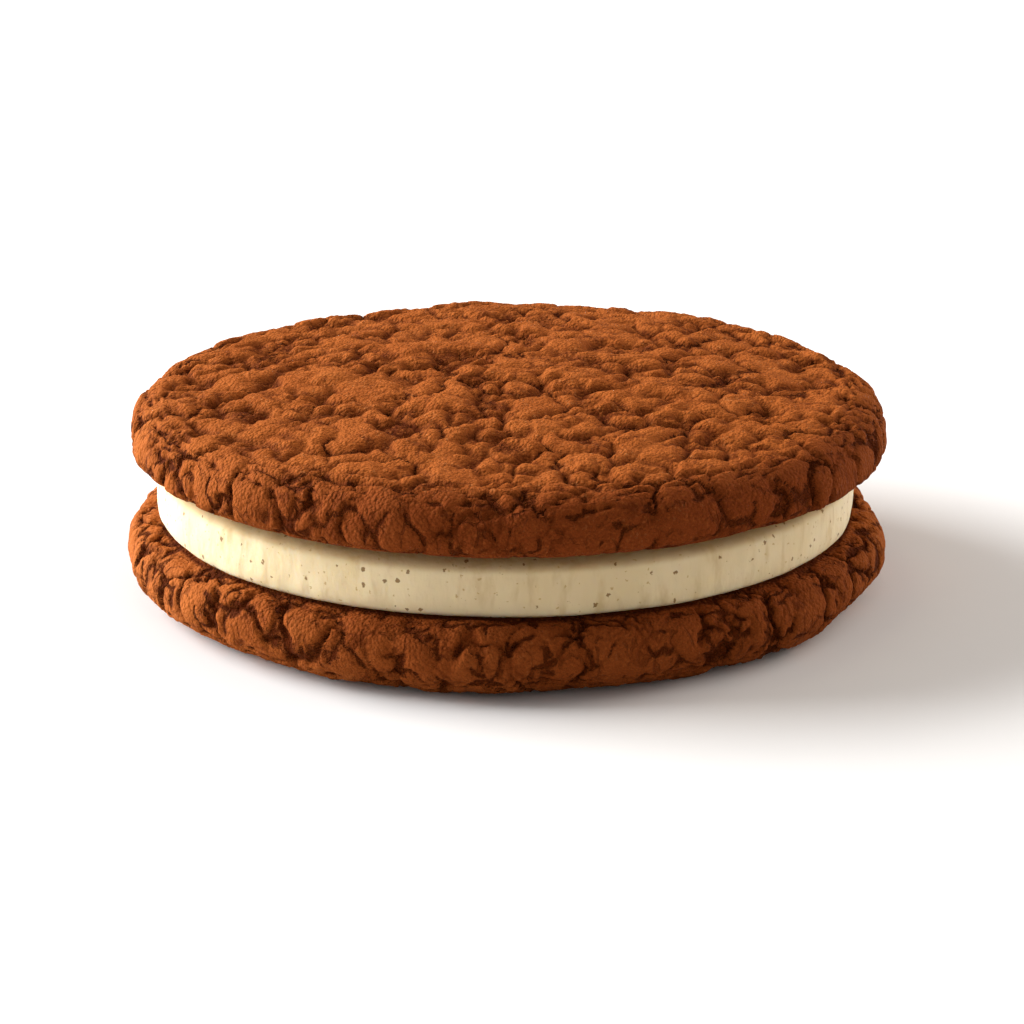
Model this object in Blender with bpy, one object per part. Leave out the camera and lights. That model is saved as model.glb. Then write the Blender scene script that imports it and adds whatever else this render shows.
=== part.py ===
"""Spice sandwich cookie: two round, crackled, soft-baked cookies with a round of cream between them.

Metres, +Z up. The origin is at the middle of the flat spot the bottom cookie rests on.
The flat sides of both cookies face the cream and their baked crusts face outwards.
"""
import math

import bmesh
import bpy
from mathutils import Vector, noise

MM = 0.001

# Overall sizes
BOTTOM_RADIUS = 38.0 * MM        # widest part of the bottom cookie
TOP_RADIUS = 37.65 * MM          # widest part of the top cookie
CREAM_RADIUS = 34.3 * MM         # cream at its upper and lower edge
CREAM_BULGE = 0.5 * MM           # how far the squeezed cream swells between the cookies
CREAM_WAVE = 0.15 * MM           # how unevenly it swells round the edge
CREAM_WAVE_LENGTH = 9.0 * MM

# Heights above the table
BOTTOM_WIDEST_Z = 3.95 * MM      # where the bottom cookie is widest
TOP_WIDEST_Z = 15.0 * MM         # where the top cookie is widest
GAP = 0.35 * MM                  # air left between the cream and each cookie
TILT_ROOM = 0.15 * MM            # more air above the cream, where the top cookie isn't quite level

# Rounding of the bottom cookie: width, height and fullness of each quarter curve
BOTTOM_CRUST = (5.5 * MM, 3.95 * MM, 2.05)
BOTTOM_FLAT = (2.6 * MM, 3.1 * MM, 2.2)

# Rounding of the top cookie, and the rise of its crust from the shoulder to the middle
TOP_CRUST = (5.2 * MM, 4.4 * MM, 2.6)
TOP_FLAT = (4.3 * MM, 1.85 * MM, 1.95)
TOP_DOME = 1.7 * MM

# How the top cookie sits: pushed a little sideways and not quite level
TOP_SHIFT = (0.35 * MM, 0.05 * MM)
TOP_TILT = (math.radians(0.2), math.radians(0.15))

# The cracked crust
SWELL = (8.5 * MM, 0.36 * MM)    # slow rise and fall of the crust: width and height
RIPPLE = (4.0 * MM, 0.29 * MM)   # the same, finer
PLATE_SIZE = 5.4 * MM            # plates between the main cracks
PLATE_DEPTH = 0.55 * MM          # depth of an open crack
PLATE_EDGE = 1.1 * MM            # how soon a plate rises from its crack
PLATE_LEVEL = 0.18 * MM          # how much plates differ in height
PLATE_WANDER = (3.6 * MM, 1.3 * MM)
CRACKED_PATCH = 5.5 * MM         # size of the patches where cracks open or stay shut
SHUT_CRACK = 0.3                 # depth of a shut crack as a share of an open one
LUMP_SIZE = 3.2 * MM             # small lumps on the plates
LUMP_DEPTH = 0.30 * MM
LUMP_EDGE = 0.8 * MM
LUMP_WANDER = (2.4 * MM, 0.7 * MM)
RIM_STRETCH = 0.6                # cracks run upright on the rim, by this squeeze in height
MIDDLE_LEVEL = 0.32 * MM         # lifts the relief so that the crust keeps its overall size

# Where the crackled surface gives way to plain flat faces
RIM_BAND = 6.0 * MM              # the face turns into the rim over this width
REST_RADIUS = 27.0 * MM          # plain flat spot under the bottom cookie
REST_FADE = 4.0 * MM
BOTTOM_FLAT_FADE = (3.2 * MM, 1.4 * MM)
TOP_FLAT_FADE = 1.2 * MM
TOP_FLAT_SMOOTHING = 0.8         # how much smoother the rim is where it turns under

# Seeds: one for the wandering of the cracks, and places in the noise that make the two crusts differ
WANDER_SEED = 7
TOP_SEED = Vector((0.0, 0.0, 0.0))
BOTTOM_SEED = Vector((40.0, 17.0, 9.0)) * MM
PLATE_SEED = Vector((3.1, 7.7, 1.3))
RIPPLE_SEED = Vector((11.3, 2.9, 8.1))
PATCH_SEED = Vector((5.5, 9.1, 4.4))
LUMP_SEED = Vector((40.0, 17.0, 9.0))

# Triangles: how finely each solid is shaped, how many it keeps, and the share given to hidden flats
COOKIE_FINENESS = 7
COOKIE_FACES = 4800
COOKIE_HIDDEN = 0.15
CREAM_FINENESS = 5
CREAM_FACES = 1200
CREAM_HIDDEN = 0.06
FLAT_SNAP = 0.15 * MM            # points this close to a flat face lie exactly on it

CRUST_COLOUR = (0.29, 0.075, 0.020, 1.0)
CREAM_COLOUR = (0.83, 0.70, 0.47, 1.0)


def clear_scene():
    for item in list(bpy.data.objects):
        bpy.data.objects.remove(item)


def make_collection(name):
    group = bpy.data.collections.new(name)
    bpy.context.scene.collection.children.link(group)
    return group


def make_material(name, colour, roughness):
    material = bpy.data.materials.new(name)
    material.use_nodes = True
    shader = material.node_tree.nodes["Principled BSDF"]
    shader.inputs["Base Color"].default_value = colour
    shader.inputs["Roughness"].default_value = roughness
    shader.inputs["Metallic"].default_value = 0.0
    return material


def ramp(low, high, value):
    """Smooth step from 0 at low to 1 at high."""
    share = min(1.0, max(0.0, (value - low) / (high - low)))
    return share * share * (3.0 - 2.0 * share)


def quarter(radius, edge, steps=16):
    """Quarter of a rounded edge, from the widest point towards the face, as (radius, height)."""
    width, height, fullness = edge
    points = []
    for step in range(steps + 1):
        angle = math.pi / 2.0 * step / steps
        out = radius - width + width * math.cos(angle) ** (2.0 / fullness)
        rise = height * max(0.0, math.sin(angle)) ** (2.0 / fullness)
        points.append((out, rise))
    return points


def cookie_profile(radius, crust, flat, dome, steps=24):
    """Half section of a cookie, crust up, from the middle of the crust to the middle of its flat side.

    crust and flat are the two rounded edges. Height 0 is where the cookie is widest.
    """
    shoulder = radius - crust[0]
    points = []
    for step in range(steps):
        share = step / steps
        points.append((shoulder * share, crust[1] + dome * (1.0 - share * share)))
    points.extend(reversed(quarter(radius, crust)))
    points.extend((out, -rise) for out, rise in quarter(radius, flat)[1:])
    points.append((0.0, -flat[1]))
    return points


def cream_profile(radius, bulge, thickness, steps=16):
    """Half section of the cream, from the middle of its top face to the middle of its lower face."""
    points = [(0.0, thickness / 2.0)]
    for step in range(steps + 1):
        share = step / steps
        swell = bulge * (1.0 - (2.0 * share - 1.0) ** 4)
        points.append((radius + swell, thickness * (0.5 - share)))
    points.append((0.0, -thickness / 2.0))
    return points


class Turned:
    """A turned section that is walked by share of its surface, with level stretches counted less."""

    def __init__(self, profile, hidden_share):
        self.profile = profile
        self.table = [0.0]
        for first, second in zip(profile, profile[1:]):
            length = math.hypot(second[0] - first[0], second[1] - first[1])
            level = abs(second[1] - first[1]) < 1e-9
            area = length * (first[0] + second[0]) * (hidden_share if level else 1.0)
            self.table.append(self.table[-1] + area)

    def at(self, share):
        """Radius and height of the section at a share of its surface."""
        target = min(1.0, max(0.0, share)) * self.table[-1]
        low = 0
        high = len(self.table) - 1
        while high - low > 1:
            middle = (low + high) // 2
            if self.table[middle] <= target:
                low = middle
            else:
                high = middle
        part = (target - self.table[low]) / (self.table[high] - self.table[low])
        first, second = self.profile[low], self.profile[high]
        return first[0] + (second[0] - first[0]) * part, first[1] + (second[1] - first[1]) * part

    def facing(self, share, reach=0.004):
        """Direction the surface faces there, as (outwards, upwards)."""
        before = self.at(share - reach)
        after = self.at(share + reach)
        along = (after[0] - before[0], after[1] - before[1])
        length = math.hypot(*along)
        return -along[1] / length, along[0] / length


def wander(point, pattern, seed):
    """Shift a point about, so that what is drawn there loses its straight lines."""
    size, amount = pattern
    return point + noise.noise_vector(point / size + seed) * amount


def crack_distance(point, size, seed):
    """Distance to the nearest crack between plates, and the middle of the plate."""
    where = point / size + seed
    own, other = noise.voronoi(where)[1][:2]
    across = other - own
    middle = (own + other) * 0.5
    return max(0.0, (middle - where).dot(across) / max(across.length, 1e-6)) * size, own


def crust_relief(point, seed, rim):
    """Height of the crackled crust above its plain form. rim is 0 on the face and 1 on the edge."""
    place = point + seed
    place.z *= 1.0 - (1.0 - RIM_STRETCH) * rim
    height = MIDDLE_LEVEL
    height += SWELL[1] * noise.noise(place / SWELL[0] + PLATE_SEED)
    height += RIPPLE[1] * noise.noise(place / RIPPLE[0] + RIPPLE_SEED)
    to_crack, centre = crack_distance(wander(place, PLATE_WANDER, RIPPLE_SEED), PLATE_SIZE, PLATE_SEED)
    plate = 1.0 - math.exp(-to_crack / PLATE_EDGE)
    cracked = ramp(-0.45, 0.15, noise.noise(place / CRACKED_PATCH + PATCH_SEED))
    height += PLATE_LEVEL * noise.noise(centre * 3.7) * plate
    height -= PLATE_DEPTH * (SHUT_CRACK + (1.0 - SHUT_CRACK) * cracked) * (1.0 - plate)
    to_crease = crack_distance(wander(place, LUMP_WANDER, TOP_SEED), LUMP_SIZE, LUMP_SEED)[0]
    height -= LUMP_DEPTH * math.exp(-to_crease / LUMP_EDGE)
    return height


def wrap_ball(fineness, turned):
    """A ball of even triangles wrapped onto a turned section, and the way each point faces."""
    mesh = bmesh.new()
    bmesh.ops.create_icosphere(mesh, subdivisions=fineness, radius=1.0)
    facings = []
    for vert in mesh.verts:
        share = (1.0 - min(1.0, max(-1.0, vert.co.z))) / 2.0
        out, level = turned.at(share)
        outwards, upwards = turned.facing(share)
        angle = math.atan2(vert.co.y, vert.co.x)
        vert.co = Vector((out * math.cos(angle), out * math.sin(angle), level))
        facings.append(Vector((outwards * math.cos(angle), outwards * math.sin(angle), upwards)))
    return mesh, facings


def thinned(mesh, faces):
    """Mesh data with its triangles thinned to the number wanted, as a Decimate modifier leaves it."""
    data = bpy.data.meshes.new("dense")
    start_faces = len(mesh.faces)
    mesh.to_mesh(data)
    mesh.free()
    dense = bpy.data.objects.new("dense", data)
    bpy.context.scene.collection.objects.link(dense)
    thin = dense.modifiers.new("thin", "DECIMATE")
    thin.decimate_type = "COLLAPSE"
    thin.ratio = faces / start_faces
    evaluated = dense.evaluated_get(bpy.context.evaluated_depsgraph_get())
    result = bpy.data.meshes.new_from_object(evaluated)
    bpy.data.objects.remove(dense)
    bpy.data.meshes.remove(data)
    return result


def mesh_object(name, mesh, material, group, faces, flats):
    """Make the object from its dense mesh. flats lists (height, radius) of faces kept exactly flat."""
    data = thinned(mesh, faces)
    data.name = name
    for vert in data.vertices:
        for height, radius in flats:
            if abs(vert.co.z - height) < FLAT_SNAP and math.hypot(vert.co.x, vert.co.y) < radius:
                vert.co.z = height
    data.shade_smooth()
    data.materials.append(material)
    item = bpy.data.objects.new(name, data)
    group.objects.link(item)
    return item


def crackled_cookie(radius, crust, flat, dome, seed, keep):
    """Dense cookie, crust up, with its crust raised and cracked. keep(out, height) is 0 where it is plain."""
    turned = Turned(cookie_profile(radius, crust, flat, dome), COOKIE_HIDDEN)
    mesh, facings = wrap_ball(COOKIE_FINENESS, turned)
    for vert, facing in zip(mesh.verts, facings):
        out = math.hypot(vert.co.x, vert.co.y)
        rim = 1.0 if vert.co.z < 0.0 else ramp(radius - RIM_BAND, radius, out)
        relief = crust_relief(vert.co.copy(), seed, rim) * keep(out, vert.co.z)
        vert.co += facing * relief
    return mesh


def make_top_cookie(group, material):
    """Top cookie, crust up, with its flat side plain where the cream hides it."""
    plain_radius = TOP_RADIUS - TOP_FLAT[0]

    def keep(out, height):
        if height >= 0.0:
            return 1.0
        smoother = 1.0 - TOP_FLAT_SMOOTHING * ramp(0.2 * TOP_FLAT[1], 0.95 * TOP_FLAT[1], -height)
        return smoother * ramp(plain_radius - TOP_FLAT_FADE, plain_radius, out)

    mesh = crackled_cookie(TOP_RADIUS, TOP_CRUST, TOP_FLAT, TOP_DOME, TOP_SEED, keep)
    flats = [(-TOP_FLAT[1], plain_radius - TOP_FLAT_FADE)]
    item = mesh_object("top_cookie", mesh, material, group, COOKIE_FACES, flats)
    item.location = (TOP_SHIFT[0], TOP_SHIFT[1], TOP_WIDEST_Z)
    item.rotation_euler = (TOP_TILT[0], TOP_TILT[1], 0.0)


def make_bottom_cookie(group, material):
    """Bottom cookie, turned crust down, with a plain flat spot to rest on."""
    plain_radius = BOTTOM_RADIUS - BOTTOM_FLAT_FADE[0]

    def keep(out, height):
        if height >= 0.0:
            return ramp(REST_RADIUS, REST_RADIUS + REST_FADE, out)
        return ramp(plain_radius, BOTTOM_RADIUS - BOTTOM_FLAT_FADE[1], out)

    mesh = crackled_cookie(BOTTOM_RADIUS, BOTTOM_CRUST, BOTTOM_FLAT, 0.0, BOTTOM_SEED, keep)
    for vert in mesh.verts:
        vert.co.z = min(vert.co.z, BOTTOM_CRUST[1])
    flats = [(BOTTOM_CRUST[1], BOTTOM_RADIUS), (-BOTTOM_FLAT[1], plain_radius)]
    item = mesh_object("bottom_cookie", mesh, material, group, COOKIE_FACES, flats)
    item.location = (0.0, 0.0, BOTTOM_WIDEST_Z)
    item.rotation_euler = (math.pi, 0.0, 0.0)


def make_cream(group, material):
    """Round of cream, swelling a little between the two flat sides and waving along its edge."""
    low = BOTTOM_WIDEST_Z + BOTTOM_FLAT[1] + GAP
    high = TOP_WIDEST_Z - TOP_FLAT[1] - GAP - TILT_ROOM
    thickness = high - low
    profile = cream_profile(CREAM_RADIUS, CREAM_BULGE, thickness)
    mesh = wrap_ball(CREAM_FINENESS, Turned(profile, CREAM_HIDDEN))[0]
    for vert in mesh.verts:
        out = math.hypot(vert.co.x, vert.co.y)
        if out >= CREAM_RADIUS:
            vert.co.xy *= 1.0 + CREAM_WAVE * noise.noise(vert.co / CREAM_WAVE_LENGTH) / out
    flats = [(thickness / 2.0, CREAM_RADIUS), (-thickness / 2.0, CREAM_RADIUS)]
    item = mesh_object("cream", mesh, material, group, CREAM_FACES, flats)
    item.location = (0.0, 0.0, (low + high) / 2.0)


def main():
    clear_scene()
    noise.seed_set(WANDER_SEED)
    group = make_collection("Spice sandwich cookie")
    make_bottom_cookie(group, make_material("bottom crust", CRUST_COLOUR, 0.8))
    make_cream(group, make_material("cream filling", CREAM_COLOUR, 0.45))
    make_top_cookie(group, make_material("top crust", CRUST_COLOUR, 0.8))


if __name__ == "__main__":
    main()
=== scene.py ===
"""Spice sandwich cookie with its finishes: two crackled soft-baked crusts and a speckled cream filling.

Metres, +Z up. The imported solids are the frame: sizes and heights come from their boxes, and each
piece here stands for one of them.
"""
import math

import bmesh
import bpy
from bpy.props import FloatProperty, FloatVectorProperty, IntProperty, PointerProperty
from bpy.types import Operator, Panel, PropertyGroup
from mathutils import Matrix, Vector, noise


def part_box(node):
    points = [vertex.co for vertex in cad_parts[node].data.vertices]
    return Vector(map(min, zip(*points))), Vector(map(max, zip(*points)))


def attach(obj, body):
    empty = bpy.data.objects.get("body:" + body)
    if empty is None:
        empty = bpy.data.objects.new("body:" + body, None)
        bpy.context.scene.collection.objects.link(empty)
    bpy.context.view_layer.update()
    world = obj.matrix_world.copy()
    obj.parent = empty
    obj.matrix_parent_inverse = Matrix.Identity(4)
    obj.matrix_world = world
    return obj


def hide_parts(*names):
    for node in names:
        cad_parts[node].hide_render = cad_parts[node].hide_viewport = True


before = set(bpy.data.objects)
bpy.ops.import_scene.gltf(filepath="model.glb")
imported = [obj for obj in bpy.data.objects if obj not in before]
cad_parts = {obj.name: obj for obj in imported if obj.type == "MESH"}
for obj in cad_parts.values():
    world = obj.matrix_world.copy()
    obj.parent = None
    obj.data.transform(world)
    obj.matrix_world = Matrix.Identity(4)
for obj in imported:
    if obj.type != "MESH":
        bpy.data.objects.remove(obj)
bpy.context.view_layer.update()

bl_info = {
    "name": "Spice Sandwich Cookie",
    "version": (1, 0, 0),
    "blender": (4, 5, 0),
    "location": "View3D > Sidebar > Cookie",
    "description": "Bakes a crackled spice cookie, fills it with cream and sets it on a pale table",
    "category": "Add Mesh",
}

MM = 0.001

# Places taken from the solids
BOTTOM_LOW, BOTTOM_HIGH = (Vector(corner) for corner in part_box("bottom_cookie"))
CREAM_LOW, CREAM_HIGH = (Vector(corner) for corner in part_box("cream"))
TOP_LOW, TOP_HIGH = (Vector(corner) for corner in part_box("top_cookie"))
RELIEF_REACH = 0.12 * MM         # how far the lumps of a solid's rim stand past its plain radius
CRUST_REACH = 0.30 * MM          # the same on its crust
CREAM_GAP = 0.35 * MM            # air left between the solids
TILT_ROOM = 0.15 * MM
BOTTOM_RADIUS = (BOTTOM_HIGH.x - BOTTOM_LOW.x) / 2.0 - RELIEF_REACH
TOP_RADIUS = (TOP_HIGH.x - TOP_LOW.x) / 2.0 - RELIEF_REACH
BOTTOM_FLAT_Z = CREAM_LOW.z - CREAM_GAP
TOP_FLAT_Z = CREAM_HIGH.z + CREAM_GAP + TILT_ROOM
TOP_CRUST_Z = TOP_HIGH.z - CRUST_REACH
TOP_SHIFT = ((TOP_HIGH.x + TOP_LOW.x) / 2.0, (TOP_HIGH.y + TOP_LOW.y) / 2.0)

# Rounded edges, each as its width, height and fullness
BOTTOM_CRUST = (5.5 * MM, 3.95 * MM, 1.94)
BOTTOM_FLAT = (2.6 * MM, BOTTOM_FLAT_Z - BOTTOM_CRUST[1], 2.2)
TOP_DOME = 1.7 * MM              # rise of the top cookie's face towards its middle
TOP_FLAT = (4.3 * MM, 1.85 * MM, 1.95)
TOP_WIDEST_Z = TOP_FLAT_Z + TOP_FLAT[1]
TOP_CRUST = (5.2 * MM, TOP_CRUST_Z - TOP_WIDEST_Z - TOP_DOME, 2.6)

# Where the crags fade in, as radii from plain to fully crackled
REST_FADE = (27.0 * MM, 31.0 * MM)
UNDER_CREAM_FADE = (33.6 * MM, 35.4 * MM)
TOP_FLAT_FADE = 1.2 * MM
RIM_FADE = 6.0 * MM              # how far in from the edge the rim's own crags begin

# The sheets under the cream
FINE_UNDER = 1.5 * MM            # how far in they stay fine
SHEET_END_SHARE = 0.78           # of the cookie's radius, where they end
SPARSE_WEIGHT = 0.1

# Painted light and painted shade on the rims, from the palest side, towards the key light, to the darkest
# side, away from it
BOTTOM_SIDE_SHADING = (-0.45, 0.75)
TOP_SIDE_SHADING = (-0.1, 0.95)
SHADED_SIDE = math.radians(70.0)   # where the rims are painted darkest, right of the front: painted shade on the side away from the key light

# Sizes of the patterns in the crust
SWELL_SIZE, SWELL_HEIGHT = 8.5 * MM, 0.31 * MM
RIPPLE_SIZE = 4.0 * MM
BEND_SIZE, BEND_REACH = 3.6 * MM, 1.3 * MM
RAGGED_SIZE = 1.3 * MM
FRAYED_SIZE = 0.55 * MM
CRACK_PATCH = 5.5 * MM
GAPING_PATCH = 1.6 * MM
OPEN_PATCH = 2.4 * MM
PUFF_BEND_SIZE, PUFF_BEND_REACH = 2.4 * MM, 0.8 * MM
PUFF_RAGGED_SIZE = 0.9 * MM
LEVEL_FADE = 0.35 * MM           # how far from a fold a lump comes to its own level
DIMPLE_WIDTH = 0.4 * MM
SMALL_FOLD_PATCH = 2.6 * MM
KNOB_WIDTH, KNOB_PATCH = 0.17 * MM, 1.9 * MM
CRUMB_SIZE = 1.5 * MM
CONTACT_SHADE_WIDTH = 0.45 * MM        # painted shade line where the cream meets a cookie

# The cream
CREAM_SINK_LOW = 0.1 * MM        # how far it runs into the bottom cookie
CREAM_SINK_HIGH = 0.25 * MM      # and into the top cookie
CREAM_PLAIN_SHARE = 0.88         # of its radius, before its side begins
CREAM_SIDE_STEPS = 40
CREAM_ROUND_STEPS = 720
TUCK_SHARE, TUCK_START = 0.28, 2.57
FOOT_SHARE = 0.12                # of its height, where it draws in on the bottom cookie
UNEVEN_FROM = 0.9                # of its radius, where it stops being plain
WAVE_LENGTH = 9.0 * MM
RIPPLE_LENGTH = 3.0 * MM
DENT_LENGTH, DENT_DEPTH = 1.1 * MM, 0.03 * MM
SOAKED_LOW = (0.9 * MM, 0.3 * MM)    # spice dust along its foot, from where it starts to its full depth
# Painted shade and warm bounce on the cream just under the top cookie, from where it starts to its full depth
SHADE_UNDER_TOP = (2.0 * MM, 0.6 * MM)

# The stage
TABLE_SIZE = 2.0
LIGHT_DISTANCE = 2.0
LIGHT_SIZE = 1.6
KEY_DIRECTION = (18.5, 21.5)     # degrees round from the left towards the back, and above the table
FILL_DIRECTION = (155.0, 24.0)
KEY_COLOUR = (1.0, 1.0, 1.0)
FILL_COLOUR = (1.0, 0.88, 0.78)
SKY_COLOUR = (1.0, 0.96, 0.92, 1.0)
SENSOR_WIDTH = 36.0
LENS_SHIFT = (0.0057, -0.0301)

# Seeds of the patterns
WANDER_SEED = 7
BOTTOM_SEED = Vector((40.0, 17.0, 9.0)) * MM
TOP_SEED = Vector((0.0, 0.0, 0.0))
PUFF_SEED = Vector((0.0, 0.0, 0.0))
PLATE_SEED = Vector((3.1, 7.7, 1.3))
RIPPLE_SEED = Vector((11.3, 2.9, 8.1))
PATCH_SEED = Vector((5.5, 9.1, 4.4))
LUMP_SEED = Vector((40.0, 17.0, 9.0))
RAGGED_SEED = Vector((21.5, 4.6, 13.2))
PIT_SEED = Vector((2.2, 31.4, 7.9))


def ramp(low, high, value):
    """Smooth step from 0 at low to 1 at high."""
    share = min(1.0, max(0.0, (value - low) / (high - low)))
    return share * share * (3.0 - 2.0 * share)


def blend(first, second, share):
    return first + (second - first) * share


# ---------------------------------------------------------------- turned sections

def quarter(radius, edge, steps=24):
    """Quarter of a rounded edge, from the widest point towards the face, as (radius, height)."""
    width, height, fullness = edge
    points = []
    for step in range(steps + 1):
        angle = math.pi / 2.0 * step / steps
        out = radius - width + width * math.cos(angle) ** (2.0 / fullness)
        rise = height * max(0.0, math.sin(angle)) ** (2.0 / fullness)
        points.append((out, rise))
    return points


def cookie_section(radius, crust, flat, dome, face_weight, rim_weight, steps=40):
    """Half section of a cookie, crust up, from the middle of the crust to under the cream.

    Each point carries the weight that the stretch before it has when the sheet is shared out.
    """
    shoulder = radius - crust[0]
    points = []
    for step in range(steps):
        share = step / steps
        points.append((shoulder * share, crust[1] + dome * (1.0 - share * share), face_weight))
    points.extend((out, rise, rim_weight) for out, rise in reversed(quarter(radius, crust)))
    points.extend((out, -rise, rim_weight) for out, rise in quarter(radius, flat)[1:])
    points.append((radius - flat[0] - FINE_UNDER, -flat[1], rim_weight))
    points.append((SHEET_END_SHARE * radius, -flat[1], SPARSE_WEIGHT))
    return points


class Turned:
    """A turned section that is walked by share of its weighted surface."""

    def __init__(self, section):
        self.section = section
        self.table = [0.0]
        for first, second in zip(section, section[1:]):
            length = math.hypot(second[0] - first[0], second[1] - first[1])
            self.table.append(self.table[-1] + length * (first[0] + second[0]) * second[2])

    def at(self, share):
        """Radius and height of the section at a share of its surface."""
        target = min(1.0, max(0.0, share)) * self.table[-1]
        low = 0
        high = len(self.table) - 1
        while high - low > 1:
            middle = (low + high) // 2
            if self.table[middle] <= target:
                low = middle
            else:
                high = middle
        part = (target - self.table[low]) / (self.table[high] - self.table[low])
        first, second = self.section[low], self.section[high]
        return blend(first[0], second[0], part), blend(first[1], second[1], part)

    def facing(self, share, reach=0.003):
        """Direction the surface faces there, as (outwards, upwards)."""
        before = self.at(share - reach)
        after = self.at(share + reach)
        along = (after[0] - before[0], after[1] - before[1])
        length = math.hypot(*along)
        return -along[1] / length, along[0] / length


def round_place(across, along):
    """Share of the disc's surface and angle for a point of the square sheet from -1 to 1."""
    if across == 0.0 and along == 0.0:
        return 0.0, 0.0
    if abs(across) > abs(along):
        reach, angle = across, math.pi / 4.0 * along / across
    else:
        reach, angle = along, math.pi / 2.0 - math.pi / 4.0 * across / along
    if reach < 0.0:
        angle += math.pi
    return reach * reach, angle


# ---------------------------------------------------------------- the crackled surface

def wander(point, size, amount, seed):
    """Shift a point about, so that what is drawn there loses its straight lines."""
    return point + noise.noise_vector(point / size + seed) * amount


def crack_distance(point, size, seed):
    """Distance to the nearest crack, distance to where three cracks meet, and the plate's middle."""
    where = point / size + seed
    distances, centres = noise.voronoi(where)
    nearest = centres[0]
    to_crack = distances[3]
    for other in centres[1:]:
        across = (other - nearest).normalized()
        to_crack = min(to_crack, max(0.0, ((nearest + other) * 0.5 - where).dot(across)))
    return to_crack * size, (distances[2] - distances[0]) * size / 2.0, nearest


def groove(distance, width):
    """Soft groove: 1 on its floor, fading with the distance from its line."""
    return math.exp(-(distance / width) ** 2)


def fold_depth(point, size, width, seed, patch):
    """How deep in a fold between lumps the point lies: 1 on its floor. Folds come and go in patches."""
    bent = wander(wander(point, 0.8 * size, 0.35 * size, seed), 0.3 * size, 0.10 * size, PIT_SEED)
    to_fold = crack_distance(bent, size, seed)[0]
    return groove(to_fold, width) * ramp(-0.15, 0.35, noise.noise(point / patch + seed))


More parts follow.
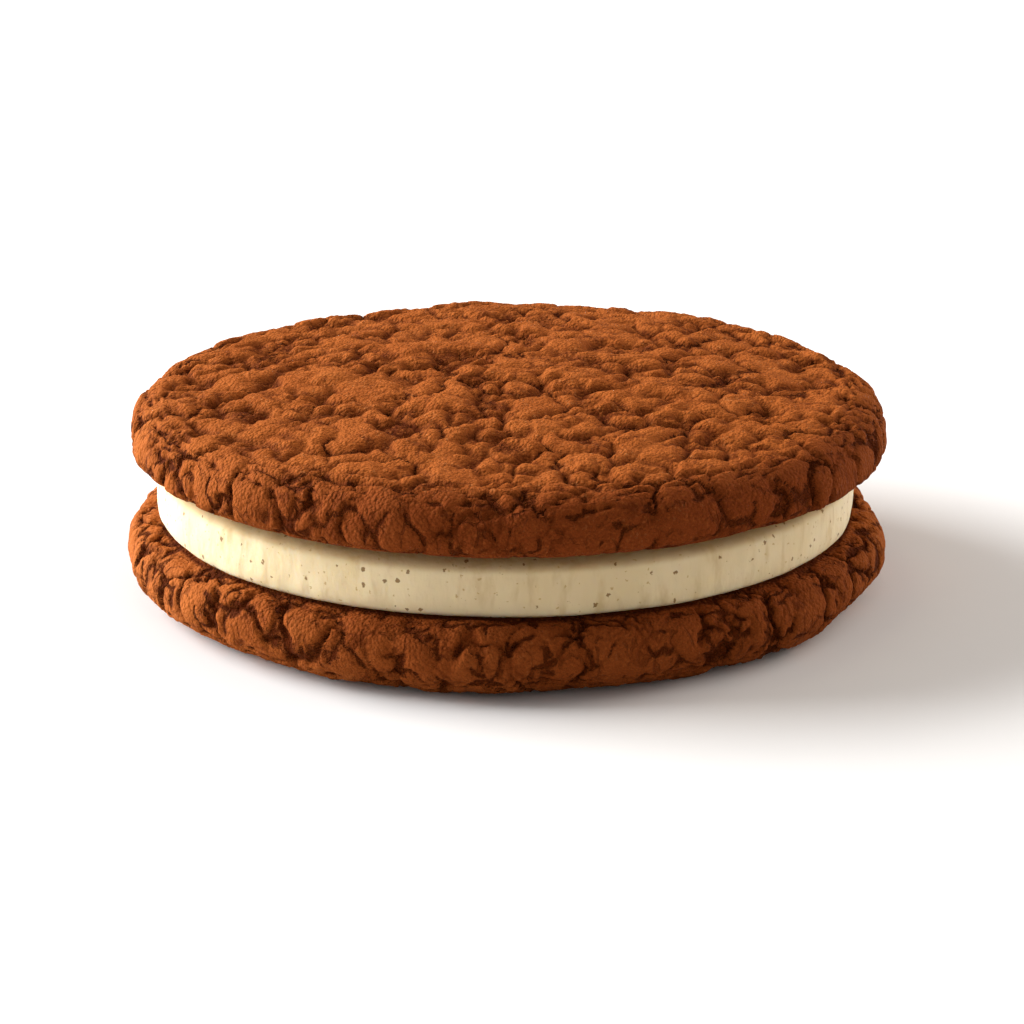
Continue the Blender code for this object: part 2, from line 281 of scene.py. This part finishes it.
def crust_relief(point, seed, rim, crust):
    """Height of the crackled crust above its plain form, how deep in a hollow the point lies (painted as
    shade by the finish), and how far it is from an open crack, in mm.

    rim is 0 on the face and 1 on the edge. crust holds the sizes of plates, cracks and lumps.
    """
    place = point + seed
    place.z *= 1.0 - 0.4 * rim

    # Broad swells and ripples
    height = blend(crust.middle_level, crust.rim_level, rim)
    height += SWELL_HEIGHT * noise.noise(place / SWELL_SIZE + PLATE_SEED)
    height += blend(0.26, 0.22, rim) * MM * noise.noise(place / RIPPLE_SIZE + RIPPLE_SEED)

    # Plates with ragged cracks between them, which open in patches
    bent = wander(place, BEND_SIZE, BEND_REACH, RIPPLE_SEED)
    ragged = wander(bent, RAGGED_SIZE, crust.raggedness * blend(1.0, 1.5, rim), RAGGED_SEED)
    ragged = wander(ragged, FRAYED_SIZE, crust.raggedness * blend(0.4, 0.6, rim), PIT_SEED)
    to_crack, to_corner, centre = crack_distance(ragged, crust.plate_size, PLATE_SEED)
    crack_patch = noise.noise(place / CRACK_PATCH + PATCH_SEED)
    cracked = ramp(blend(-0.3, -0.6, rim), blend(0.3, 0.0, rim), crack_patch)
    gaping = blend(0.5, 1.5, ramp(-0.4, 0.4, noise.noise(place / GAPING_PATCH + PUFF_SEED)))
    open_here = blend(1.0, ramp(-0.45, 0.0, noise.noise(place / OPEN_PATCH + RAGGED_SEED)), rim)
    plate = 1.0 - groove(to_crack, blend(0.8, 0.5, rim) * MM)
    height += blend(0.18, 0.12, rim) * MM * noise.noise(centre * 3.7) * plate
    height -= crust.plate_depth * blend(0.3, 1.0, cracked) * (1.0 - plate) * blend(1.0, 0.45, rim)
    slit = groove(to_crack, crust.crack_width * gaping) * cracked * open_here
    height -= crust.crack_depth * blend(0.6, 0.7, rim) * slit

    # Puffed lumps with folds between them, each lump at its own level
    puffy = wander(place, PUFF_BEND_SIZE, PUFF_BEND_REACH, PUFF_SEED)
    puffy = wander(puffy, PUFF_RAGGED_SIZE, blend(0.25, 0.45, rim) * MM, PATCH_SEED)
    to_fold, to_dimple, puff = crack_distance(puffy, crust.lump_size, LUMP_SEED)
    fold_patch = noise.noise(place / (blend(4.3, 2.2, rim) * MM) + RAGGED_SEED)
    folded = ramp(blend(-0.3, -0.25, rim), blend(0.3, 0.1, rim), fold_patch)
    fold_width = blend(blend(0.35, 0.60, folded), 0.20 * gaping, rim) * MM
    fold = groove(to_fold, fold_width) * blend(blend(0.25, 1.0, folded), folded, rim)
    level = 0.5 * noise.noise(puff * 2.9) * (1.0 - 0.8 * rim) * (1.0 - groove(to_fold, LEVEL_FADE))
    height += crust.lump_depth * (0.3 - fold * blend(0.9, 0.3, rim) + level)

    # Pits where folds or cracks meet
    dimple = groove(to_dimple, DIMPLE_WIDTH) * folded * (1.0 - 0.6 * rim)
    pit = groove(to_corner, DIMPLE_WIDTH) * cracked * rim
    height -= crust.pit_depth * max(dimple, 0.6 * pit)

    # Knobs and crumb
    small_width = blend(0.28, 0.17, rim) * MM
    small_fold = fold_depth(place, 2.1 * crust.knob_size, small_width, RAGGED_SEED, SMALL_FOLD_PATCH)
    height -= crust.knob_depth * small_fold * blend(0.6, 0.4, rim)
    knob = fold_depth(place, crust.knob_size, KNOB_WIDTH, PATCH_SEED, KNOB_PATCH)
    height -= crust.knob_depth * knob * blend(0.3, 0.2, rim)
    crumbly = noise.fractal(place / CRUMB_SIZE + LUMP_SEED, 0.6, 2.1, 4)
    height += crust.crumb_depth * crumbly * blend(1.25, 0.7, rim)

    # How deep in a hollow the point lies; the finish paints it as shade.
    crevice_shade = max(0.35 * cracked * (1.0 - plate), slit, dimple, pit, 0.8 * fold)
    crevice_shade = max(crevice_shade, 0.7 * small_fold, 0.4 * knob, 0.8 * ramp(0.4, 1.2, -crumbly))

    # A crack that is closed here counts as far away
    to_main = to_crack / MM + 1.5 * (1.0 - cracked * open_here)
    to_side = to_fold / MM + blend(0.12, 0.04, rim) + 1.5 * (1.0 - folded)
    to_pit = to_corner / MM - 0.1 + 1.5 * (1.0 - cracked)
    return height, crevice_shade, min(to_main, to_side, to_pit)


# ---------------------------------------------------------------- shader expressions

class Term:
    """A shader socket in an expression: each operator on it adds a Math node."""

    def __init__(self, finish, socket):
        self.finish = finish
        self.socket = socket

    def math(self, operation, first, second):
        return self.finish.node("ShaderNodeMath", {"operation": operation}, {0: first, 1: second})

    def __add__(self, other):
        return self.math("ADD", self, other)

    def __radd__(self, other):
        return self.math("ADD", other, self)

    def __sub__(self, other):
        return self.math("SUBTRACT", self, other)

    def __rsub__(self, other):
        return self.math("SUBTRACT", other, self)

    def __mul__(self, other):
        return self.math("MULTIPLY", self, other)

    def __rmul__(self, other):
        return self.math("MULTIPLY", other, self)


class Finish:
    """The nodes of one material, with its shader ready."""

    def __init__(self, name, **constants):
        self.material = bpy.data.materials.new(name)
        self.material.use_nodes = True
        self.tree = self.material.node_tree
        self.shader = self.tree.nodes["Principled BSDF"]
        for socket, value in constants.items():
            self.shader.inputs[socket.replace("_", " ")].default_value = value

    def node(self, kind, settings=None, sockets=None, output=0):
        """Add a node: its settings first, then the values or links of its sockets."""
        made = self.tree.nodes.new(kind)
        for name, value in (settings or {}).items():
            setattr(made, name, value)
        for name, value in (sockets or {}).items():
            self.feed(made.inputs[name], value)
        return Term(self, made.outputs[output])

    def feed(self, socket, value):
        if isinstance(value, Term):
            self.tree.links.new(value.socket, socket)
        elif hasattr(value, "__len__") and len(value) == 3 and socket.type == "RGBA":
            socket.default_value = (*value, 1.0)
        else:
            socket.default_value = value

    def place(self):
        return self.node("ShaderNodeTexCoord", output="Object")

    def attribute(self, name):
        return self.node("ShaderNodeAttribute", {"attribute_name": name}, output="Fac")

    def noise(self, place, size, detail=2.0, roughness=0.5):
        """Soft noise whose features are about size across."""
        sockets = {"Vector": place, "Scale": 1.0 / size, "Detail": detail, "Roughness": roughness}
        return self.node("ShaderNodeTexNoise", None, sockets, output="Fac")

    def cells(self, place, size, output, feature="F1"):
        """Cells about size across, for crumb, specks and cracks."""
        sockets = {"Vector": place, "Scale": 1.0 / size}
        return self.node("ShaderNodeTexVoronoi", {"feature": feature}, sockets, output)

    def stretched(self, place, factors):
        """Places scaled along each axis, so that a pattern runs longer one way."""
        return self.node("ShaderNodeVectorMath", {"operation": "MULTIPLY"}, {0: place, 1: factors})

    def step(self, value, low, high):
        """Smooth step of a value from 0 at low to 1 at high."""
        settings = {"interpolation_type": "SMOOTHSTEP"}
        return self.node("ShaderNodeMapRange", settings, {"Value": value, "From Min": low, "From Max": high})

    def bend(self, place, size, reach):
        """Shift the places of a pattern about by up to reach, in waves of the given size."""
        sockets = {"Vector": place, "Scale": 1.0 / size, "Detail": 1.0}
        waves = self.node("ShaderNodeTexNoise", None, sockets, output="Color")
        shifted = {0: waves, 1: [2.0 * reach] * 3, 2: place}
        return self.node("ShaderNodeVectorMath", {"operation": "MULTIPLY_ADD"}, shifted)

    def mix(self, first, second, share):
        return self.node("ShaderNodeMix", {"data_type": "RGBA"}, {0: share, 6: first, 7: second}, output=2)

    def bump(self, height, distance, strength=1.0, under=None):
        sockets = {"Height": height, "Distance": distance, "Strength": strength}
        if under is not None:
            sockets["Normal"] = under
        return self.node("ShaderNodeBump", None, sockets)


def crust_finish(name, colours):
    """Baked spice crust: rust brown, with painted shade in its cracks and hollows, lump tops painted lighter
    as painted light, rims painted paler towards the key light and darker away from it, with sandy crumb and
    pale and dark specks.
    """
    finish = Finish(name, Roughness=0.80, Specular_IOR_Level=0.03)
    place = finish.place()
    crevice_shade = finish.attribute("crevice_shade")
    raised = finish.attribute("raised")

    mottle = finish.noise(place, 5.0 * MM, 3.0)
    sandy = finish.noise(place, 0.50 * MM, 3.0, 0.6)
    grain = finish.noise(place, 0.30 * MM, 2.0)
    colour = finish.mix(colours.crust, colours.baked, finish.step(mottle, 0.38, 0.66) * 0.55)
    # Painted light: lump tops are painted lighter, reaching further down on the rims, over the raised crumb's
    # own lighter tone.
    colour = finish.mix(colour, colours.raised, finish.step(raised, 0.25, 1.0) * 0.5)
    # browned is painted light and painted shade round the rims: below 0 it mixes in the pale colour on the
    # side towards the key light, above 0 the dark rim colour on the side away from it.
    browned = finish.attribute("browned")
    colour = finish.mix(colour, colours.pale, 0.0 - browned)
    colour = finish.mix(colour, colours.rim, browned)
    # Painted shade in the hollows, over the moist crumb's own darker tone.
    colour = finish.mix(colour, colours.crevice_shade, finish.step(crevice_shade, 0.12, 0.95))
    upright = finish.stretched(place, (1.0, 1.0, 0.6))
    rim = finish.attribute("rim")
    hairline = crack_mask(finish, upright, 3.1 * MM, 0.10 * MM) * rim * 0.5
    edge = finish.attribute("cleft") + (finish.noise(place, 0.35 * MM, 3.0, 0.6) - 0.5) * 0.7
    crack = 1.0 - finish.step(edge, 0.02, 0.14 + 0.16 * rim)
    # Cracks painted with the crevice colour: painted shade inside them, beside their bump.
    colour = finish.mix(colour, colours.crevice_shade, hairline)
    colour = finish.mix(colour, colours.crevice_shade, crack * (0.6 + 0.4 * rim))
    colour = finish.mix(colour, colours.crevice_shade, finish.step(sandy, 0.54, 0.74) * 0.34)
    colour = finish.mix(colour, colours.raised, finish.step(grain, 0.52, 0.68) * (0.36 - 0.24 * rim))

    fleck = finish.noise(place, 0.36 * MM, 1.0)
    fleck_patch = finish.step(finish.noise(place, 3.2 * MM, 1.0), 0.42, 0.62)
    fleck_mask = finish.step(fleck, 0.665, 0.70) * fleck_patch * (1.0 - crevice_shade)
    colour = finish.mix(colour, colours.fleck, fleck_mask * (0.45 - 0.35 * rim))
    finish.feed(finish.shader.inputs["Base Color"], colour)

    crumb = finish.cells(place, 0.33 * MM, "Distance")
    height = sandy * 0.18 - crumb * 0.16 - (crack + hairline) * 0.30
    finish.feed(finish.shader.inputs["Normal"], finish.bump(height, 1.0 * MM))
    return finish.material


def crack_mask(finish, place, spacing, width):
    """Mask of short ragged hairline cracks. Spacing is the size of the plates between them."""
    bent = finish.bend(place, 1.1 * MM, 0.95 * MM)
    edge = finish.cells(bent, spacing, "Distance", "DISTANCE_TO_EDGE") * (spacing / MM)
    gaping = finish.step(finish.noise(place, 1.3 * MM, 1.0), 0.42, 0.60)
    return (1.0 - finish.step(edge - gaping * (width / MM), -0.02, 0.11)) * gaping


def cream_finish(name, colours):
    """Whipped vanilla cream: pale yellow white with faint smears and brown spice specks, and painted shade
    just under the top cookie.
    """
    finish = Finish(name, Roughness=0.60, Specular_IOR_Level=0.06, Subsurface_Weight=1.0,
                    Subsurface_Radius=(1.0, 0.8, 0.5), Subsurface_Scale=1.2 * MM)
    place = finish.place()
    drawn = finish.stretched(place, (1.0, 1.0, 0.35))
    smear = finish.noise(drawn, 1.5 * MM, 3.0)
    cloud = finish.noise(place, 6.0 * MM, 2.0)
    colour = finish.mix(colours.cream, colours.cream_deep, finish.step(cloud, 0.35, 0.65))
    colour = finish.mix(colour, colours.smear, finish.step(smear, 0.50, 0.78) * 0.42)
    # soaked is spice dust along the foot and painted shade just under the top cookie, both in the smear
    # colour.
    colour = finish.mix(colour, colours.smear, finish.attribute("soaked_and_shaded") * 0.75)

    bent = finish.bend(place, 0.3 * MM, 0.26 * MM)
    colour = finish.mix(colour, colours.spice, spots(finish, bent, 1.05 * MM, 0.22, 0.22) * 0.78)
    colour = finish.mix(colour, colours.smear, spots(finish, bent, 0.70 * MM, 0.10, 0.20) * 0.65)
    finish.feed(finish.shader.inputs["Base Color"], colour)
    dents = finish.bump(finish.noise(drawn, 1.6 * MM, 3.0), 0.35 * MM, 0.6)
    bumpy = finish.bump(finish.noise(place, 0.5 * MM, 2.0), 0.04 * MM, 1.0, dents)
    finish.feed(finish.shader.inputs["Normal"], bumpy)
    return finish.material


def spots(finish, place, spacing, rarity, reach):
    """Mask of scattered spots: rarity is the share of places left empty, reach the largest spot."""
    away = finish.cells(place, spacing, "Distance")
    chance = finish.cells(place, spacing, "Color")
    draw = finish.node("ShaderNodeSeparateColor", None, {"Color": chance}, "Red")
    grown = finish.step(draw, rarity, 1.0) * reach
    return (1.0 - finish.step(away - grown, -0.04, 0.03)) * finish.step(draw, rarity, rarity + 0.1)


def table_finish(name, colour):
    """Matt pale table with the faintest grain."""
    finish = Finish(name, Roughness=0.95, Specular_IOR_Level=0.05)
    grain = finish.noise(finish.place(), 4.0 * MM, 2.0)
    paler = tuple(min(1.0, channel * 1.01) for channel in colour)
    finish.feed(finish.shader.inputs["Base Color"], finish.mix(colour, paler, grain))
    return finish.material


# ---------------------------------------------------------------- settings

def colour_property(name, description, default):
    return FloatVectorProperty(name=name, description=description, default=default, size=3,
                               min=0.0, max=1.0, subtype="COLOR")


def length_property(name, description, default):
    return FloatProperty(name=name, description=description, default=default, unit="LENGTH", precision=5)


def power_property(name, description, default):
    return FloatProperty(name=name, description=description, default=default, unit="POWER")


class CookieColours(PropertyGroup):
    crust: colour_property("Crust", "Colour of the baked crust", (0.355, 0.093, 0.0175))
    baked: colour_property("Browned crust", "Where the crust browned more", (0.270, 0.063, 0.0105))
    # Raised crust is the lighter crumb on lump tops, used partly as painted light.
    raised: colour_property("Raised crust", "On top of the lumps", (0.440, 0.130, 0.0265))
    # Pale rim is painted light on the rims' side towards the key light.
    pale: colour_property("Pale rim", "Where the edge browned least", (0.500, 0.150, 0.0370))
    # Rim is painted shade on the rims' side away from the key light.
    rim: colour_property("Rim", "Browner crust round the edge", (0.155, 0.0290, 0.0052))
    # Crevice is moist dark crumb, used mostly as painted shade in hollows and cracks.
    crevice_shade: colour_property("Crevice", "Moist crumb inside cracks", (0.085, 0.0145, 0.0018))
    fleck: colour_property("Fleck", "Pale grains of sugar and flour", (0.52, 0.23, 0.085))
    cream: colour_property("Cream", "Colour of the filling", (0.78, 0.655, 0.42))
    cream_deep: colour_property("Deeper cream", "Where the filling is a little darker", (0.73, 0.595, 0.36))
    # Smear is spice dust in the filling, also used as painted shade under the top cookie.
    smear: colour_property("Smear", "Spice dust mixed into the filling", (0.46, 0.29, 0.105))
    spice: colour_property("Spice", "Specks of ground spice", (0.18, 0.075, 0.012))
    table: colour_property("Table", "Colour of the table", (0.87, 0.87, 0.87))


class CrustSettings(PropertyGroup):
    middle_level: length_property("Middle level", "Lifts the face so that the size stays", 0.10 * MM)
    rim_level: length_property("Rim level", "Draws the rim in so that the size stays", -0.10 * MM)
    plate_size: length_property("Plate size", "Plates between the main cracks", 5.4 * MM)
    plate_depth: length_property("Plate depth", "How far plates round down to their cracks", 0.26 * MM)
    crack_depth: length_property("Crack depth", "How deep an open crack is cut", 0.55 * MM)
    crack_width: length_property("Crack width", "Half width of an open crack", 0.24 * MM)
    raggedness: length_property("Raggedness", "How ragged the cracks run", 0.42 * MM)
    pit_depth: length_property("Pit depth", "Depth of the holes where cracks meet", 0.55 * MM)
    lump_size: length_property("Lump size", "Puffed lumps on the face", 3.2 * MM)
    lump_depth: length_property("Lump depth", "Depth of the folds between lumps", 0.36 * MM)
    knob_size: length_property("Knob size", "Knobs of coarse crumb", 1.15 * MM)
    knob_depth: length_property("Knob depth", "Height of the knobs", 0.14 * MM)
    crumb_depth: length_property("Crumb depth", "Height of the fine crumb", 0.10 * MM)
    fineness: IntProperty(name="Fineness", description="Quads along a side of the sheet", default=309, min=16)


class CreamSettings(PropertyGroup):
    radius: length_property("Radius", "Cream at its upper and lower edge", 34.3 * MM)
    bulge: length_property("Bulge", "How far the squeezed cream swells", 0.55 * MM)
    tuck: length_property("Tuck", "How far it draws in under the top cookie", 2.3 * MM)
    foot: length_property("Foot", "How far it draws in on the bottom cookie", 1.1 * MM)
    wave: length_property("Wave", "How unevenly it swells", 0.22 * MM)


class StageSettings(PropertyGroup):
    elevation: FloatProperty(name="Elevation", description="Camera above the horizon",
                             default=math.radians(17.42), subtype="ANGLE")
    distance: length_property("Distance", "Camera to the middle of the stack", 0.304)
    lens: FloatProperty(name="Lens", description="Focal length in millimetres", default=106.08)
    aim_height: length_property("Aim height", "Height that the camera looks at", 9.46 * MM)
    key_power: power_property("Key light", "Power of the large soft light", 112.0)
    fill_power: power_property("Fill light", "Power of the weak warm light", 27.0)
    sky: FloatProperty(name="Sky", description="Strength of the light all round", default=0.40)


class CookieKit(PropertyGroup):
    colours: PointerProperty(type=CookieColours)
    crust: PointerProperty(type=CrustSettings)
    cream: PointerProperty(type=CreamSettings)
    stage: PointerProperty(type=StageSettings)


# ---------------------------------------------------------------- pieces

def finished_piece(name, mesh, material, node):
    """Make the piece that stands for a solid of the frame."""
    bmesh.ops.recalc_face_normals(mesh, faces=mesh.faces)
    is_inside_out = mesh.calc_volume(signed=True) < 0.0
    if is_inside_out:
        bmesh.ops.reverse_faces(mesh, faces=mesh.faces)
    data = bpy.data.meshes.new(name)
    mesh.to_mesh(data)
    mesh.free()
    data.shade_smooth()
    data.materials.append(material)
    piece = bpy.data.objects.new(name, data)
    bpy.context.scene.collection.objects.link(piece)
    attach(piece, "root")
    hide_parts(node)


def crackled_sheet(radius, section, seed, keep, side_shading, shaded_side, kit):
    """A square sheet wrapped round a cookie, crust up, raised and cracked, and closed under the cream.

    keep gives how much of the relief stands at a radius and a height.
    """
    crust = kit.crust
    mesh = bmesh.new()
    bmesh.ops.create_grid(mesh, x_segments=crust.fineness, y_segments=crust.fineness, size=1.0)
    crevice_layer = mesh.verts.layers.float.new("crevice_shade")
    raised_layer = mesh.verts.layers.float.new("raised")
    rim_layer = mesh.verts.layers.float.new("rim")
    side_shade_layer = mesh.verts.layers.float.new("browned")
    cleft_layer = mesh.verts.layers.float.new("cleft")
    turned = Turned(section)
    for vert in mesh.verts:
        share, angle = round_place(vert.co.x, vert.co.y)
        out, level = turned.at(share)
        outwards, upwards = turned.facing(share)
        around = Vector((math.cos(angle), math.sin(angle), 0.0))
        plain = around * out + Vector((0.0, 0.0, level))
        rim = 1.0 if level < 0.0 else ramp(radius - RIM_FADE, radius, out)
        height, crevice_shade, cleft = crust_relief(plain, seed, rim, crust)
        kept = keep(out, level)
        if level < 0.0:
            # Painted shade: a dark line on the cookie where the cream meets it.
            crevice_shade = max(crevice_shade, groove(out - kit.cream.radius, CONTACT_SHADE_WIDTH))
        vert.co = plain + (around * outwards + Vector((0.0, 0.0, upwards))) * height * kept
        vert[crevice_layer] = crevice_shade
        # Painted light on the lump tops, reaching further down on the rims.
        vert[raised_layer] = ramp(blend(0.1, -0.25, rim) * MM, blend(0.8, 0.35, rim) * MM, height) * kept
        vert[rim_layer] = rim * min(1.0, kept)
        # Painted light and shade round the rim: below 0 towards the key light, darkest on the side away from
        # it.
        vert[side_shade_layer] = rim * blend(*side_shading, ramp(0.0, 1.0, math.cos(angle - shaded_side)))
        vert[cleft_layer] = cleft
    rim_edges = [edge for edge in mesh.edges if edge.is_boundary]
    bmesh.ops.holes_fill(mesh, edges=rim_edges, sides=0)
    return mesh


class COOKIE_OT_bottom(Operator):
    """Bake the bottom cookie, crust down on the table"""
    bl_idname = "cookie.bottom"
    bl_label = "Bottom Cookie"

    def execute(self, context):
        kit = context.scene.cookie_kit
        section = cookie_section(BOTTOM_RADIUS, BOTTOM_CRUST, BOTTOM_FLAT,
                                 dome=0.0, face_weight=0.12, rim_weight=1.0)

        def keep(out, level):
            if level >= 0.0:
                return ramp(*REST_FADE, out)
            return ramp(*UNDER_CREAM_FADE, out)

        mesh = crackled_sheet(BOTTOM_RADIUS, section, BOTTOM_SEED, keep, BOTTOM_SIDE_SHADING, SHADED_SIDE, kit)
        widest = BOTTOM_CRUST[1]
        for vert in mesh.verts:
            vert.co = Vector((vert.co.x, -vert.co.y, widest - min(vert.co.z, widest)))
        finish = crust_finish("bottom crust", kit.colours)
        finished_piece("bottom_crust", mesh, finish, "bottom_cookie")
        return {"FINISHED"}


class COOKIE_OT_cream(Operator):
    """Fill the gap between the cookies with cream"""
    bl_idname = "cookie.cream"
    bl_label = "Cream Filling"

    def execute(self, context):
        kit = context.scene.cookie_kit
        cream = kit.cream
        low = BOTTOM_FLAT_Z - CREAM_SINK_LOW
        high = TOP_FLAT_Z + CREAM_SINK_HIGH
        plain_radius = CREAM_PLAIN_SHARE * cream.radius
        mesh = bmesh.new()
        points = [Vector((0.0, 0.0, low)), Vector((plain_radius, 0.0, low))]
        for step in range(CREAM_SIDE_STEPS + 1):
            share = step / CREAM_SIDE_STEPS
            swell = cream.bulge * (1.0 - abs(2.0 * share - 1.0) ** 4)
            under_top = max(0.0, share / TUCK_SHARE - TUCK_START) ** 2
            on_bottom = max(0.0, 1.0 - share / FOOT_SHARE) ** 2
            swell -= cream.tuck * under_top + cream.foot * on_bottom
            points.append(Vector((cream.radius + swell, 0.0, blend(low, high, share))))
        points += [Vector((plain_radius, 0.0, high)), Vector((0.0, 0.0, high))]
        verts = [mesh.verts.new(point) for point in points]
        edges = [mesh.edges.new(pair) for pair in zip(verts, verts[1:])]
        bmesh.ops.spin(mesh, geom=verts + edges, cent=(0.0, 0.0, 0.0), axis=(0.0, 0.0, 1.0),
                       angle=2.0 * math.pi, steps=CREAM_ROUND_STEPS, use_merge=True)
        bmesh.ops.remove_doubles(mesh, verts=mesh.verts, dist=0.001 * MM)
        soaked_layer = mesh.verts.layers.float.new("soaked_and_shaded")
        for vert in mesh.verts:
            at_foot = 0.4 * ramp(low + SOAKED_LOW[0], low + SOAKED_LOW[1], vert.co.z)
            # Painted shade: darker towards the top edge, under the top cookie's overhang.
            shade_under_top = ramp(high - SHADE_UNDER_TOP[0], high - SHADE_UNDER_TOP[1], vert.co.z)
            vert[soaked_layer] = max(shade_under_top, at_foot)
            out = math.hypot(vert.co.x, vert.co.y)
            if out > UNEVEN_FROM * cream.radius:
                ripple = noise.noise(vert.co / RIPPLE_LENGTH + PIT_SEED)
                wave = noise.noise(vert.co / WAVE_LENGTH) + 0.35 * ripple
                dent = noise.noise(vert.co / DENT_LENGTH + LUMP_SEED)
                vert.co.xy *= 1.0 + (cream.wave * wave + DENT_DEPTH * dent) / out
        finish = cream_finish("cream filling", kit.colours)
        finished_piece("cream_filling", mesh, finish, "cream")
        return {"FINISHED"}


class COOKIE_OT_top(Operator):
    """Bake the top cookie, crust up on the cream"""
    bl_idname = "cookie.top"
    bl_label = "Top Cookie"

    def execute(self, context):
        kit = context.scene.cookie_kit
        section = cookie_section(TOP_RADIUS, TOP_CRUST, TOP_FLAT,
                                 dome=TOP_DOME, face_weight=1.0, rim_weight=1.5)
        plain_radius = TOP_RADIUS - TOP_FLAT[0]

        def keep(out, level):
            if level >= 0.0:
                return 1.0
            smoother = 1.0 - 0.8 * ramp(0.2 * TOP_FLAT[1], 0.95 * TOP_FLAT[1], -level)
            return smoother * ramp(plain_radius - TOP_FLAT_FADE, plain_radius, out)

        mesh = crackled_sheet(TOP_RADIUS, section, TOP_SEED, keep, TOP_SIDE_SHADING, -SHADED_SIDE, kit)
        for vert in mesh.verts:
            vert.co += Vector((TOP_SHIFT[0], TOP_SHIFT[1], TOP_WIDEST_Z))
        finish = crust_finish("top crust", kit.colours)
        finished_piece("top_crust", mesh, finish, "top_cookie")
        return {"FINISHED"}


class COOKIE_OT_stage(Operator):
    """Set the pale table, the soft lights and the camera"""
    bl_idname = "cookie.stage"
    bl_label = "Table, Lights and Camera"

    def execute(self, context):
        kit = context.scene.cookie_kit
        stage = kit.stage
        mesh = bmesh.new()
        bmesh.ops.create_grid(mesh, x_segments=4, y_segments=4, size=TABLE_SIZE)
        data = bpy.data.meshes.new("table")
        mesh.to_mesh(data)
        mesh.free()
        data.materials.append(table_finish("pale table", kit.colours.table))
        table = bpy.data.objects.new("table", data)
        context.scene.collection.objects.link(table)

        world = bpy.data.worlds.new("soft room")
        context.scene.world = world
        world.use_nodes = True
        background = world.node_tree.nodes["Background"]
        background.inputs["Color"].default_value = SKY_COLOUR
        background.inputs["Strength"].default_value = stage.sky

        self.add_light("key light", KEY_DIRECTION, stage.key_power, KEY_COLOUR)
        self.add_light("fill light", FILL_DIRECTION, stage.fill_power, FILL_COLOUR)

        forward = Vector((0.0, math.cos(stage.elevation), -math.sin(stage.elevation)))
        lens = bpy.data.cameras.new("camera")
        camera = bpy.data.objects.new("camera", lens)
        context.scene.collection.objects.link(camera)
        camera.location = Vector((0.0, 0.0, stage.aim_height)) - forward * stage.distance
        camera.rotation_euler = forward.to_track_quat("-Z", "Y").to_euler()
        lens.sensor_width = SENSOR_WIDTH
        lens.lens = stage.lens
        lens.shift_x, lens.shift_y = LENS_SHIFT
        context.scene.camera = camera
        context.scene.view_settings.view_transform = "Standard"
        return {"FINISHED"}

    def add_light(self, name, direction, power, colour):
        """Set up a square soft light that faces the cookie."""
        around, above = (math.radians(angle) for angle in direction)
        reach = math.cos(above)
        place = Vector((-math.cos(around) * reach, math.sin(around) * reach, math.sin(above)))
        light = bpy.data.lights.new(name, "AREA")
        light.shape = "SQUARE"
        light.size = LIGHT_SIZE
        light.energy = power
        light.color = colour
        lamp = bpy.data.objects.new(name, light)
        bpy.context.scene.collection.objects.link(lamp)
        lamp.location = place * LIGHT_DISTANCE
        lamp.rotation_euler = (-place).to_track_quat("-Z", "Y").to_euler()


class COOKIE_PT_kit(Panel):
    """Steps and settings for the cookie"""
    bl_idname = "COOKIE_PT_kit"
    bl_label = "Spice Sandwich Cookie"
    bl_space_type = "VIEW_3D"
    bl_region_type = "UI"
    bl_category = "Cookie"

    def draw(self, context):
        kit = context.scene.cookie_kit
        for step in STEPS:
            self.layout.operator(step.bl_idname)
        for group in (kit.colours, kit.crust, kit.cream, kit.stage):
            box = self.layout.box()
            for name in group.__annotations__:
                box.prop(group, name)


STEPS = (COOKIE_OT_bottom, COOKIE_OT_cream, COOKIE_OT_top, COOKIE_OT_stage)
GROUPS = (CookieColours, CrustSettings, CreamSettings, StageSettings, CookieKit)


def register():
    for item in (*GROUPS, *STEPS, COOKIE_PT_kit):
        bpy.utils.register_class(item)
    bpy.types.Scene.cookie_kit = PointerProperty(type=CookieKit)


def unregister():
    del bpy.types.Scene.cookie_kit
    for item in reversed((*GROUPS, *STEPS, COOKIE_PT_kit)):
        bpy.utils.unregister_class(item)


def main():
    register()
    noise.seed_set(WANDER_SEED)
    bpy.ops.cookie.bottom()
    bpy.ops.cookie.cream()
    bpy.ops.cookie.top()
    bpy.ops.cookie.stage()


if __name__ == "__main__":
    main()
